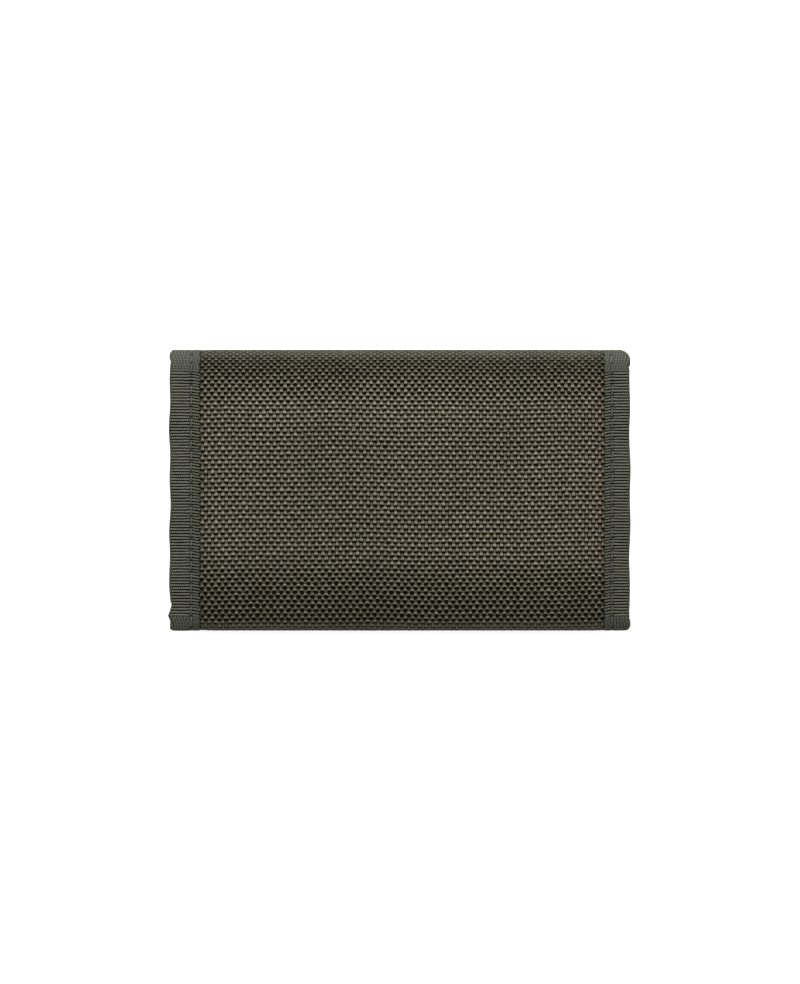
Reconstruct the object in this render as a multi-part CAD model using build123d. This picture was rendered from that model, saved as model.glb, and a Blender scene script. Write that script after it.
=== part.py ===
from build123d import *
import math
import os

# Cloth wallet that folds once, lying closed on its front leaf, in millimetres.
# X runs along the fold, +Y points at the fold and +Z up.
# The origin is the middle of the footprint.
# The front leaf lies on the surface, the back leaf lies over it, and the fold joins them.
# "Depth" below is the distance in from a leaf's outer face, so one set of functions serves both
# leaves: each leaf is laid out with its outer face on z = 0, and the back leaf is then mirrored.

# ---- overall sizes ----
wallet_width = 130.0      # along the fold
wallet_depth = 79.5       # from the free edge to the outside of the fold
leaf_space = 3.9          # between the two leaves' inner faces when closed

# ---- cloth and foam ----
shell_cloth = 0.9         # heavy ballistic weave
foam = 1.0                # interlining between shell and lining
lining_cloth = 0.3
bill_clearance = 0.1      # between the inner panel's folded tape and the shell's lining
pocket_cloth = 0.5
coin_space = 1.0          # coins lie here, behind the zipper
coin_panel_cloth = 0.4

# ---- free edge ----
nose_length = 4.2         # how far the rolled edge runs before it turns straight down
hem_width = 9.0           # shell turned over onto the inside

# ---- binding tape ----
tape = 0.5                # thickness
mouth_tape_width = 8.5    # on the side where the bill compartment opens
side_tape_width = 7.4     # on the closed side
panel_setback = 9.0       # inner panel's bound edge stands in from the shell's by this much

# ---- fold ----
fold_gap = 0.15           # clearance between the rigid thirds of the rolled cloth

# ---- card pockets on the back leaf ----
pocket_names = ("rear", "middle", "front")
first_mouth_setback = 4.0     # rear pocket's mouth, from where the fold starts to bend
mouth_step = 9.0              # each further pocket is this much shallower
mouth_tape_drop = 4.0         # how far the tape reaches down the pocket's face
mouth_tape = 0.3

# ---- hook and loop closure ----
closure_length = 44.0
closure_width = 16.0
closure_setback = 1.0         # from the hem's inner edge
hook_height = 1.8
closure_gap = 0.2             # between the two faces when closed

# ---- coin pocket zipper on the front leaf ----
zip_setback = 19.0            # chain's middle, from where the fold starts to bend
zip_tape = 0.4
zip_tape_width = 9.5
coil_height = 1.1
coil_reach = 2.1              # outer side of each coil row, from the middle
coil_slit = 0.9               # between the two rows, where the slider's post runs
coil_end_gap = 2.0            # from the bindings to the chain
stop_length = 1.6
slider_length = 8.0
slider_width = 6.6
slider_plate = 0.5
slider_base_plate = 0.4
slider_rim = 0.8              # width of the rims that hold the rows together
slider_rim_depth = 0.35
slider_clearance = 0.1
post_length = 2.0
post_width = 0.6
slot_clearance = 0.7          # between the slider and the pocket's two panels
bail_length = 5.0
bail_width = 1.1
bail_bar = 0.5
eye_clearance = 0.12
pull_pin_radius = 0.35
pull_length = 14.0
pull_width = 4.6
pull_thickness = 0.7
pull_fillet = 1.6
pull_hole_radius = 1.2
panel_fold_setback = 1.0      # coin pocket's upper edge, from where the fold starts to bend

# ---- depths of the layers, worked out from the sizes above ----
lining_depth = shell_cloth + foam
wall_depth = lining_depth + lining_cloth          # bill compartment's outer wall
bill_space = tape + bill_clearance                # notes lie here, between lining and inner panel
panel_depth = wall_depth + bill_space             # inner panel's outer face
panel_top = panel_depth + lining_cloth
back_stack = panel_top + pocket_cloth * len(pocket_names)
zip_tape_depth = panel_top + coin_space
front_stack = zip_tape_depth + zip_tape + coin_panel_cloth

wallet_height = front_stack + leaf_space + back_stack
fold_radius = wallet_height / 2
half_width = wallet_width / 2
y_fold = wallet_depth / 2
y_bend = y_fold - fold_radius                     # the fold's centre, where the bend starts
y_edge = -wallet_depth / 2 + nose_length          # where the rolled free edge starts
y_hem = y_edge + hem_width
fold_centre = (y_bend, fold_radius)

x_mouth = -half_width                             # outer face of the mouth binding
x_side = half_width
x_panel = x_mouth + panel_setback                 # outer face of the inner panel's binding
x_mouth_tape = x_mouth + mouth_tape_width
x_panel_tape = x_panel + mouth_tape_width
x_side_tape = x_side - side_tape_width

# The fold is cut at 45 and 135 degrees round its centre, and each cut has the fold's gap.
gap_angle = math.degrees(fold_gap / 2 / fold_radius)
leaf_bend = (0.0, 45.0 - gap_angle)
spine_bend = (45.0 + gap_angle, 135.0 - gap_angle)


# ---- section pieces, drawn as (y, z) ----

def flat(d0, d1, y0, y1):
    """Straight stretch of a layer between two depths."""
    return Pos((y0 + y1) / 2, (d0 + d1) / 2) * Rectangle(y1 - y0, d1 - d0)


def bend(d0, d1, angles):
    """The same layer round the fold, from one angle to the other."""
    start = angles[0] - 90
    sweep_angle = angles[1] - angles[0]
    outer = CenterArc(fold_centre, fold_radius - d0, start, sweep_angle)
    inner = CenterArc(fold_centre, fold_radius - d1, start, sweep_angle)
    ends = [Line(outer @ 0, inner @ 0), Line(outer @ 1, inner @ 1)]
    return make_face([outer, inner] + ends)


def nose(d0, d1, stack):
    """The same layer round the free edge, which is half an ellipse."""
    half = (stack + shell_cloth) / 2
    centre = (y_edge, half)
    outer = EllipticalCenterArc(centre, nose_length - d0, half - d0, start_angle=90, arc_size=180)
    inner = EllipticalCenterArc(centre, nose_length - d1, half - d1, start_angle=90, arc_size=180)
    ends = [Line(outer @ 0, inner @ 0), Line(outer @ 1, inner @ 1)]
    return make_face([outer, inner] + ends)


def hem(d0, d1, stack):
    """The same layer where it is turned over onto the inside."""
    top = stack + shell_cloth
    return flat(top - d1, top - d0, y_edge, y_hem)


def along_fold(section, x0, x1):
    """Run a section along the fold from x0 to x1."""
    return extrude(Plane.YZ.offset(x0) * section, amount=x1 - x0)


def block(x0, x1, y0, y1, z0, z1):
    return Pos((x0 + x1) / 2, (y0 + y1) / 2, (z0 + z1) / 2) * Box(x1 - x0, y1 - y0, z1 - z0)


def turned(d0, d1, stack):
    """A leaf's layer that also goes round the free edge and into the hem."""
    return leaf(d0, d1) + nose(d0, d1, stack) + hem(d0, d1, stack)


def leaf(d0, d1):
    """A leaf's layer from the free edge into its third of the fold."""
    return flat(d0, d1, y_edge, y_bend) + bend(d0, d1, leaf_bend)


# ---- binding tape ----

def stepped(steps):
    """Tape that lies on a stack that gets thinner towards the fold.

    steps holds (y, depth) pairs: the stack is depth thick until y, and thinner after it.
    """
    strip = Sketch()
    y_from = y_hem
    for index, (y_to, depth) in enumerate(steps):
        strip += flat(depth, depth + tape, y_from, y_to)
        if index + 1 < len(steps):
            next_depth = steps[index + 1][1]
            strip += flat(next_depth, depth + tape, y_to, y_to + tape)
            y_to += tape
        y_from = y_to
    return strip


def stepped_wall(depth_from, steps):
    """The edge wall below a stepped tape."""
    wall = Sketch()
    y_from = y_hem
    for y_to, depth in steps:
        wall += flat(depth_from, depth, y_from, y_to)
        y_from = y_to
    return wall


def mouth_binding(stack):
    """Tape folded over the shell and its lining where the bill compartment opens."""
    face = along_fold(turned(0, tape, stack), x_mouth, x_mouth_tape)
    shell_edge = nose(tape, shell_cloth, stack) + hem(tape, shell_cloth, stack)
    wall = along_fold(leaf(tape, wall_depth) + shell_edge, x_mouth, x_mouth + tape)
    inner = along_fold(leaf(wall_depth, wall_depth + tape), x_mouth, x_mouth_tape)
    return face + wall + inner


def panel_binding(stack, steps):
    """Tape folded over the inner panel and the pockets sewn to it."""
    outer = along_fold(leaf(panel_depth - tape, panel_depth), x_panel, x_panel_tape)
    wall_section = flat(panel_depth, stack, y_edge, y_hem)
    wall_section += stepped_wall(panel_depth, steps)
    wall_section += bend(panel_depth, panel_top, leaf_bend)
    wall = along_fold(wall_section, x_panel, x_panel + tape)
    inner_section = stepped(steps) + bend(panel_top, panel_top + tape, leaf_bend)
    inner = along_fold(inner_section, x_panel, x_panel_tape)
    return outer + wall + inner


def side_binding(stack, steps):
    """Tape folded over every layer on the closed side."""
    face = along_fold(turned(0, tape, stack), x_side_tape, x_side)
    edge_wall = flat(tape, stack, y_edge, y_hem) + stepped_wall(tape, steps)
    edge_wall += bend(tape, panel_top, leaf_bend)
    edge_wall += nose(tape, shell_cloth, stack) + hem(tape, shell_cloth, stack)
    wall = along_fold(edge_wall, x_side - tape, x_side)
    inner_section = stepped(steps) + bend(panel_top, panel_top + tape, leaf_bend)
    inner = along_fold(inner_section, x_side_tape, x_side)
    return face + wall + inner


# ---- layers that both leaves have ----

def leaf_layers(name, stack, steps):
    """The shell, its foam and lining, the inner panel and the three bindings of one leaf."""
    x0 = x_mouth + tape
    x1 = x_side - tape
    shell = along_fold(turned(0, shell_cloth, stack), x0, x1)
    shell -= along_fold(turned(0, tape, stack), x0, x_mouth_tape)
    shell -= along_fold(turned(0, tape, stack), x_side_tape, x1)
    return {
        name + "_shell": shell,
        name + "_foam": along_fold(leaf(shell_cloth, lining_depth), x0, x1),
        name + "_shell_lining": along_fold(leaf(lining_depth, wall_depth), x0, x1),
        name + "_inner_panel": along_fold(leaf(panel_depth, panel_top), x_panel + tape, x1),
        name + "_mouth_binding": mouth_binding(stack),
        name + "_panel_binding": panel_binding(stack, steps),
        name + "_side_binding": side_binding(stack, steps),
    }


def spine_layers():
    """The middle third of the fold: the same layers, without hem or pockets."""
    x0 = x_mouth + tape
    x1 = x_side - tape

    def run(d0, d1, start, end):
        return along_fold(bend(d0, d1, spine_bend), start, end)

    shell = run(0, shell_cloth, x0, x1)
    shell -= run(0, tape, x0, x_mouth_tape)
    shell -= run(0, tape, x_side_tape, x1)
    mouth = run(0, tape, x_mouth, x_mouth_tape) + run(tape, wall_depth, x_mouth, x0)
    mouth += run(wall_depth, wall_depth + tape, x_mouth, x_mouth_tape)
    panel = run(panel_depth - tape, panel_depth, x_panel, x_panel_tape)
    panel += run(panel_depth, panel_top, x_panel, x_panel + tape)
    panel += run(panel_top, panel_top + tape, x_panel, x_panel_tape)
    side = run(0, tape, x_side_tape, x_side) + run(tape, panel_top, x1, x_side)
    side += run(panel_top, panel_top + tape, x_side_tape, x_side)
    return {
        "spine_shell": shell,
        "spine_foam": run(shell_cloth, lining_depth, x0, x1),
        "spine_shell_lining": run(lining_depth, wall_depth, x0, x1),
        "spine_inner_panel": run(panel_depth, panel_top, x_panel + tape, x1),
        "spine_mouth_binding": mouth,
        "spine_panel_binding": panel,
        "spine_side_binding": side,
    }


# ---- card pockets ----

def mouth_y(index):
    return y_bend - first_mouth_setback - index * mouth_step


def card_pockets():
    """Three pockets one over the other, each with a taped mouth, laid out before mirroring."""
    pieces = {}
    for index, name in enumerate(pocket_names):
        low = panel_top + index * pocket_cloth
        top = low + pocket_cloth
        y_mouth = mouth_y(index)
        cloth = block(x_panel + tape, x_side - tape, y_edge, y_mouth, low, top)
        face = flat(top, top + mouth_tape, y_mouth - mouth_tape_drop, y_mouth + mouth_tape)
        lip = flat(low, top, y_mouth, y_mouth + mouth_tape)
        pieces["card_pocket_" + name] = cloth
        pieces["card_pocket_" + name + "_tape"] = along_fold(face + lip, x_panel_tape, x_side_tape)
    return pieces


def pocket_steps():
    """How the back leaf's stack gets thinner towards the fold, past each pocket's mouth."""
    steps = []
    for index in reversed(range(len(pocket_names))):
        steps.append((mouth_y(index), panel_top + (index + 1) * pocket_cloth))
    steps.append((y_bend, panel_top))
    return steps


# ---- coin pocket and its zipper ----

y_zip = y_bend - zip_setback
y_coin_top = y_bend - panel_fold_setback
slot_half = slider_width / 2 + slot_clearance
coil_middle = zip_tape_depth + zip_tape / 2
coil_low = coil_middle - coil_height / 2
coil_top = coil_middle + coil_height / 2
x_coil_start = x_panel_tape + coil_end_gap
x_coil_end = x_side_tape - coil_end_gap
slit_half = coil_slit / 2


def coin_steps():
    return [(y_coin_top, front_stack), (y_bend, panel_top)]


def coin_pocket():
    """Two panels either side of the chain, and the cloth tabs that close the slot's ends."""
    x0 = x_panel + tape
    x1 = x_side - tape
    z0 = zip_tape_depth + zip_tape
    lower = block(x0, x1, y_edge, y_zip - slot_half, z0, front_stack)
    upper = block(x0, x1, y_zip + slot_half, y_coin_top, z0, front_stack)
    tab_low = y_zip - slot_half
    tab_high = y_zip + slot_half
    tabs = block(x_panel_tape, x_coil_start, tab_low, tab_high, z0, front_stack)
    tabs += block(x_coil_end, x_side_tape, tab_low, tab_high, z0, front_stack)
    return {
        "coin_pocket_lower_panel": lower,
        "coin_pocket_upper_panel": upper,
        "zipper_end_tabs": tabs,
    }


def zipper():
    """Tapes, coil rows and stops."""
    pieces = {}
    z0 = zip_tape_depth
    z1 = zip_tape_depth + zip_tape
    for name, way in (("lower", -1), ("upper", 1)):
        near = y_zip + way * coil_reach
        far = near + way * zip_tape_width
        inner = y_zip + way * slit_half
        strip = block(x_panel_tape, x_side_tape, min(near, far), max(near, far), z0, z1)
        row = block(x_coil_start + stop_length, x_coil_end - stop_length,
                    min(inner, near), max(inner, near), coil_low, coil_top)
        pieces["zipper_tape_" + name] = strip
        pieces["zipper_coil_" + name] = row
        stop = block(x_coil_start, x_coil_start + stop_length,
                     min(inner, near), max(inner, near), coil_low, coil_top)
        pieces["zipper_top_stops"] = pieces.get("zipper_top_stops", Part()) + stop
    pieces["zipper_bottom_stop"] = block(x_coil_end - stop_length, x_coil_end, y_zip - coil_reach,
                                         y_zip + coil_reach, coil_low, coil_top)
    return pieces


x_slider = x_coil_start + stop_length + slider_clearance + slider_length / 2
z_base = coil_low - slider_clearance - slider_base_plate
z_plate = coil_top + slider_clearance
z_plate_top = z_plate + slider_plate
z_pin = z_plate_top + eye_clearance + pull_pin_radius
z_eye_top = z_pin + pull_pin_radius + eye_clearance


def slider():
    """Two plates joined by a post between the rows, with a bail on top for the pull."""
    x0 = x_slider - slider_length / 2
    x1 = x_slider + slider_length / 2
    half = slider_width / 2
    lower = block(x0, x1, y_zip - half, y_zip + half, z_base, z_base + slider_base_plate)
    upper = block(x0, x1, y_zip - half, y_zip + half, z_plate, z_plate_top)
    corners = (lower + upper).edges().filter_by(Axis.Z)
    body = fillet(corners, slider_rim)
    for way in (-1, 1):
        y_out = y_zip + way * half
        y_in = y_out - way * slider_rim
        low = min(y_in, y_out)
        high = max(y_in, y_out)
        rim_x0 = x0 + slider_rim
        rim_x1 = x1 - slider_rim
        base_top = z_base + slider_base_plate
        body += block(rim_x0, rim_x1, low, high, base_top, base_top + slider_rim_depth)
        body += block(rim_x0, rim_x1, low, high, z_plate - slider_rim_depth, z_plate)
    post = block(x0, x0 + post_length, y_zip - post_width / 2, y_zip + post_width / 2,
                 z_base, z_plate_top)
    bail = block(x_slider - bail_length / 2, x_slider + bail_length / 2, y_zip - bail_width / 2,
                 y_zip + bail_width / 2, z_plate_top, z_eye_top + bail_bar)
    bail = fillet(bail.edges().filter_by(Axis.Y).group_by(Axis.Z)[-1], bail_bar)
    eye = block(x_slider - bail_length / 2 + bail_bar, x_slider + bail_length / 2 - bail_bar,
                y_zip - bail_width, y_zip + bail_width, z_plate_top, z_eye_top)
    return body + post + (bail - eye)


def pull():
    """Flat tab with an eye at one end, whose crossbar is the pin in the bail."""
    x_end = x_slider + bail_length / 2 + eye_clearance
    z0 = z_pin - pull_thickness / 2
    z1 = z_pin + pull_thickness / 2
    y0 = y_zip - pull_width / 2
    y1 = y_zip + pull_width / 2
    tab = block(x_slider - pull_pin_radius, x_slider + pull_length, y0, y1, z0, z1)
    tab = fillet(tab.edges().filter_by(Axis.Z).group_by(Axis.X)[-1], pull_fillet)
    arm_gap = bail_width / 2 + eye_clearance
    tab -= block(x_slider - pull_width, x_end, y_zip - arm_gap, y_zip + arm_gap, z0, z1)
    hole_x = x_slider + pull_length - pull_width / 2
    tab -= Pos(hole_x, y_zip, z_pin) * Cylinder(pull_hole_radius, pull_thickness)
    pin = Pos(x_slider, y_zip, z_pin) * Rot(X=90) * Cylinder(pull_pin_radius, pull_width)
    return tab + pin


# ---- hook and loop closure ----

def closure(low, height):
    y0 = y_hem + closure_setback
    x0 = -closure_length / 2
    return block(x0, x0 + closure_length, y0, y0 + closure_width, low, low + height)


# ---- the whole wallet ----

parts = leaf_layers("front", front_stack, coin_steps())
parts.update(coin_pocket())
parts.update(zipper())
parts["zipper_slider"] = slider()
parts["zipper_pull"] = pull()
parts["hook_strip"] = closure(front_stack, hook_height)
parts.update(spine_layers())

loop_height = leaf_space - hook_height - closure_gap
back = leaf_layers("back", back_stack, pocket_steps())
back.update(card_pockets())
back["loop_strip"] = closure(back_stack, loop_height)
middle_plane = Plane.XY.offset(fold_radius)
for name, shape in back.items():
    parts[name] = mirror(shape, about=middle_plane)

# The two fold axes stand outside the cloth, so that the cloth keeps its length as it opens.
axis_reach = math.pi * fold_radius / 4
slider_travel = x_coil_end - stop_length - slider_clearance - slider_length / 2 - x_slider
print("fold axes: y", y_bend + axis_reach, "z", fold_radius - axis_reach, fold_radius + axis_reach)
print("slider: x", x_slider, "travel", slider_travel)
print("pull pin: y", y_zip, "z", z_pin)

os.makedirs("parts", exist_ok=True)
for name, shape in parts.items():
    export_step(shape, "parts/" + name + ".step")
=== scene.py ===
# Bifold wallet of heavy plain-weave cloth with bound edges, dressed over its CAD frame.
import math

import bpy
import numpy as np
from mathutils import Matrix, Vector


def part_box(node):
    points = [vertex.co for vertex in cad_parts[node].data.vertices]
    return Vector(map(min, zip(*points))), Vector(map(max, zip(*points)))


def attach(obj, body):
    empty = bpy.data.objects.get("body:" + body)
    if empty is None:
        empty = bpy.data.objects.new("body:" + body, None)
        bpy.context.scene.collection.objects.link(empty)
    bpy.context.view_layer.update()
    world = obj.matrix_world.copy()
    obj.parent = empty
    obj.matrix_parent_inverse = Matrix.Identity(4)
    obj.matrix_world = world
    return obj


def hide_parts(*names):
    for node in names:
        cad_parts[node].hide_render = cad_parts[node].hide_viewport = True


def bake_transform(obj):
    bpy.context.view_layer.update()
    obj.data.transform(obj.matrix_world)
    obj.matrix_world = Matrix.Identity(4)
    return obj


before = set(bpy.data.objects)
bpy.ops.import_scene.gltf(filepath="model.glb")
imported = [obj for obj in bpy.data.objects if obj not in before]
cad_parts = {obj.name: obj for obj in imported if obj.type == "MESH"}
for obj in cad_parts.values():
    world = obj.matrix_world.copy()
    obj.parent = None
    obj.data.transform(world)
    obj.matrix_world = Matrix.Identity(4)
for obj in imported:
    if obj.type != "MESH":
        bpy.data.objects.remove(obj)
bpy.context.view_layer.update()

MM = 0.001
rng = np.random.default_rng(7)


def span(node):
    """Lowest and highest corner of a CAD node, in millimetres."""
    lo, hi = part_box(node)
    return np.array(lo) / MM, np.array(hi) / MM


# ---------------- sizes taken from the frame
THICK = span("back_shell")[1][2]
R = THICK / 2
X_LEFT = span("back_mouth_binding")[0][0]
MOUTH_IN = span("back_mouth_binding")[1][0]
PANEL_OUT = span("back_panel_binding")[0][0]
PANEL_IN = span("back_panel_binding")[1][0]
X_RIGHT = span("back_side_binding")[1][0]
SIDE_IN = span("back_side_binding")[0][0]
CLOTH_RIGHT = span("back_shell")[1][0]
CLOTH_LEFT = span("back_shell")[0][0]
INNER_LEFT = span("back_inner_panel")[0][0]
Y_LOW = span("back_shell")[0][1]
Y_EDGE = span("back_foam")[0][1]
Y_TIP = span("spine_mouth_binding")[1][1]
Y_BEND = Y_TIP - R
HEM_TOP = span("front_shell")[1][2]
NOSE = Y_EDGE - Y_LOW
FACE = Y_BEND - Y_EDGE
CARD_MOUTHS = [span(f"card_pocket_{which}")[1][1] for which in ("front", "middle", "rear")]
CARD_STACK = THICK - span("card_pocket_front")[0][2]
COIN_TOP = span("coin_pocket_upper_panel")[1][1]

# ---------------- sizes of the sewn layers
SHELL_T = 0.9
FOAM_T = 1.0
LINING_T = 0.3
PANEL_T = 0.26
PANEL_DEPTH = 2.8                # the bill compartment lies above the lining, up to this depth
TAPE_T = 0.5                     # what a binding adds to the stack it covers
TAPE_CLOTH = 0.42
POCKET_T = 0.5
STACK = 4.9                      # a leaf's outer face to its innermost pocket layer
HEM_WIDTH = 9.0
HEM_DROP = 1.9
MIN_CUT = 10.0                   # the shortest side that a sheet may be declared with
NOSE_LEN = math.pi * math.sqrt((NOSE ** 2 + (HEM_TOP / 2) ** 2) / 2)
FOLD_LEN = R * math.pi / 2

# how deep the seams, the fold and the turned edge pull the outer face in, and over what distance
SEAM_SINK, SEAM_FADE = 1.75, 13.0
FOLD_SINK, FOLD_FADE = 1.1, 16.0
NOSE_SINK, NOSE_FADE = 1.2, 18.0
LEFT_SEAM = X_LEFT + 6.2
RIGHT_SEAM = X_RIGHT - 5.3

# ---------------- yarns
END_PITCH = 0.98                 # ends run up the face, picks run along the wallet
END_PITCH_RIGHT = 0.95
PICK_PITCH = 1.29
YARN_RISE = 0.13                 # how far a yarn climbs over the one it crosses
YARN_ROUND = 0.17                # height of its round back
RELIEF = YARN_RISE + YARN_ROUND
# shares of a yarn's pitch
WEFT_UP, WEFT_DOWN = 0.5, 0.34
WARP_HALF = 0.44
CROWN_SHIFT = 0.07
HOLE_DROP, HOLE_HALF, HOLE_SOFT = 0.07, 0.15, 0.18
GAP_DEPTH = 0.16                 # the hole under each crown, where the colour paints the crown's shadow
SHEEN_MID, SHEEN_EDGE = 1.5, 0.7     # painted highlight across a side yarn: bright middle, darker edges

# ---------------- tape and thread
RIB_PITCH = 0.83
RIB_RISE = 0.15
BEAD = 0.6
STITCH = 3.1
POCKET_STITCH = 2.6
THREAD = 0.2
STITCH_SLANT = 0.34

BODY = {"front": "front_leaf", "back": "back_leaf"}
SIDES = ("back", "front")


def smooth(t):
    """0 below 0, 1 above 1, and a soft step between."""
    t = np.clip(t, 0, 1)
    return t * t * (3 - 2 * t)


# ================ shape of the closed wallet
def sink(x, y):
    """How far the outer face lies inside the frame's face: the seams and the fold pull it in."""
    seam = np.minimum(x - LEFT_SEAM, RIGHT_SEAM - x)
    side = SEAM_SINK * (1 - smooth(seam / SEAM_FADE))
    fold = FOLD_SINK * (1 - smooth((Y_BEND - y) / FOLD_FADE))
    nose = NOSE_SINK * (1 - smooth((y - Y_EDGE) / NOSE_FADE))
    return np.sqrt(side ** 2 + fold ** 2 + nose ** 2)


def hem_top(x):
    """Height of the turned hem: it drops at the open end, where fewer layers lie under it."""
    return HEM_TOP - HEM_DROP * (1 - smooth((x - X_LEFT - 3) / 6))


def path(x, s, d):
    """Point of the front leaf's cloth at depth d.

    s runs along the cloth: up the face from 0, then round the fold; below 0 it goes round the turned edge
    (the nose) and on to the hem.
    """
    x, s, d = np.broadcast_arrays(np.asarray(x, float), np.asarray(s, float), np.asarray(d, float))
    y0 = Y_EDGE + np.clip(s, 0, FACE)
    turn = np.clip(s - FACE, 0, FOLD_LEN) / R
    roll = np.clip(-s, 0, NOSE_LEN) / NOSE_LEN * math.pi
    hem = np.clip(-s - NOSE_LEN, 0, None)
    inset = sink(x, y0)
    depth = d + inset * (1 - np.clip(d / STACK, 0, 1))
    y = y0 + (R - d) * np.sin(turn)
    z = R - (R - depth) * np.cos(turn)
    top = hem_top(x)
    height = np.maximum((top - inset) / 2 - d, 0.04)
    reach = np.maximum(NOSE - d, 0.04)
    ny = Y_EDGE - reach * np.sin(roll) + hem
    nz = (top + inset) / 2 - height * np.cos(roll)
    lower = s < 0
    return np.stack([x, np.where(lower, ny, y), np.where(lower, nz, z)], axis=-1)


def place(side, x, s, d):
    """That point on either leaf; the back leaf lies mirrored above the front one."""
    p = path(x, s, d)
    if side == "back":
        p[..., 2] = THICK - p[..., 2]
    return p


# ================ meshes
def add_object(name, data):
    """A new object in the scene."""
    obj = bpy.data.objects.new(name, data)
    bpy.context.scene.collection.objects.link(obj)
    return obj


def make_mesh(name, verts, quads, uv=None, marks=None):
    """A smooth mesh of quads, with the cloth's own coordinates as a UV map and marks as point values."""
    mesh = bpy.data.meshes.new(name)
    verts = np.asarray(verts, np.float32).reshape(-1, 3) * MM
    quads = np.asarray(quads, np.int32).reshape(-1, 4)
    mesh.vertices.add(len(verts))
    mesh.vertices.foreach_set("co", verts.ravel())
    mesh.loops.add(quads.size)
    mesh.loops.foreach_set("vertex_index", quads.ravel())
    mesh.polygons.add(len(quads))
    mesh.polygons.foreach_set("loop_start", np.arange(0, quads.size, 4, dtype=np.int32))
    mesh.polygons.foreach_set("use_smooth", np.ones(len(quads), bool))
    mesh.update(calc_edges=True)
    if uv is not None:
        layer = mesh.uv_layers.new(name="cloth")
        layer.data.foreach_set("uv", np.asarray(uv, np.float32).reshape(-1, 2)[quads.ravel()].ravel())
    for key, value in (marks or {}).items():
        mark = mesh.attributes.new(key, "FLOAT", "POINT")
        mark.data.foreach_set("value", np.asarray(value, np.float32).ravel())
    mesh.validate()
    return add_object(name, mesh)


def grid_quads(rows, cols, first=0, flip=False, wrap=False):
    """Quads of a grid of points, closed across its columns when it wraps."""
    r = np.arange(rows - 1)[:, None]
    c = np.arange(cols if wrap else cols - 1)[None, :]
    c2 = (c + 1) % cols
    a = first + r * cols + c
    b = first + r * cols + c2
    q = np.stack([a, b, b + cols, a + cols], axis=-1).reshape(-1, 4)
    return q[:, ::-1] if flip else q


def rim_quads(rows, cols, first, second, flip=False):
    """Quads that close the four borders between two grids of the same size."""
    top = np.arange(cols)
    left = np.arange(rows) * cols
    loops = [top, left + cols - 1, top[::-1] + (rows - 1) * cols, left[::-1]]
    out = []
    for line in loops:
        a, b = line[:-1], line[1:]
        out.append(np.stack([first + b, first + a, second + a, second + b], axis=-1))
    q = np.concatenate(out)
    return q[:, ::-1] if flip else q


def slab(name, outer, inner, uv, flip, marks=None):
    """A closed piece of cloth between an outer and an inner grid of points."""
    rows, cols = outer.shape[:2]
    n = rows * cols
    quads = np.concatenate([
        grid_quads(rows, cols, 0, flip),
        grid_quads(rows, cols, n, not flip),
        rim_quads(rows, cols, 0, n, flip),
    ])
    verts = np.concatenate([outer.reshape(-1, 3), inner.reshape(-1, 3)])
    uvs = np.concatenate([uv.reshape(-1, 2)] * 2)
    both = {k: np.concatenate([v.ravel()] * 2) for k, v in (marks or {}).items()}
    return make_mesh(name, verts, quads, uvs, both)


def cut_cloth(wide, long):
    """A cut piece's width and length laid flat, in metres and at least MIN_CUT each; they are worked out
    and not used further.
    """
    wide, long = max(wide, MIN_CUT) * MM, max(long, MIN_CUT) * MM


def tubes(lines, radius, sides, up):
    """Points, quads and UVs of tubes along many lines (tubes, points, 3); radius may vary along them."""
    count, points = lines.shape[:2]
    ahead = np.gradient(lines, axis=1)
    ahead /= np.linalg.norm(ahead, axis=-1, keepdims=True) + 1e-9
    across = np.cross(ahead, np.asarray(up, float))
    across /= np.linalg.norm(across, axis=-1, keepdims=True) + 1e-9
    over = np.cross(across, ahead)
    ang = np.arange(sides) / sides * 2 * math.pi
    rad = np.broadcast_to(np.asarray(radius, float), (points,))[None, :, None, None]
    ring = np.cos(ang)[:, None] * across[:, :, None, :] + np.sin(ang)[:, None] * over[:, :, None, :]
    verts = lines[:, :, None, :] + rad * ring
    one = grid_quads(points, sides, wrap=True)
    quads = (one[None] + (np.arange(count) * points * sides)[:, None, None]).reshape(-1, 4)
    length = np.concatenate([
        np.zeros((count, 1)),
        np.cumsum(np.linalg.norm(np.diff(lines, axis=1), axis=-1), axis=1),
    ], axis=1)
    u = np.broadcast_to(length[:, :, None], (count, points, sides))
    v = np.broadcast_to(ang / (2 * math.pi), (count, points, sides))
    return verts.reshape(-1, 3), quads, np.stack([u, v], axis=-1).reshape(-1, 2)


def tube_piece(name, lines, radius, sides, up):
    """Tubes as one object."""
    verts, quads, uv = tubes(lines, radius, sides, up)
    return make_mesh(name, verts, quads, uv)


# ================ materials
def srgb(r, g, b):
    """A colour given as it is seen, 0 to 255, as the linear values a shader takes."""
    out = []
    for c in (r, g, b):
        c /= 255
        out.append(c / 12.92 if c <= 0.04045 else ((c + 0.055) / 1.055) ** 2.4)
    return (*out, 1)


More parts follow.
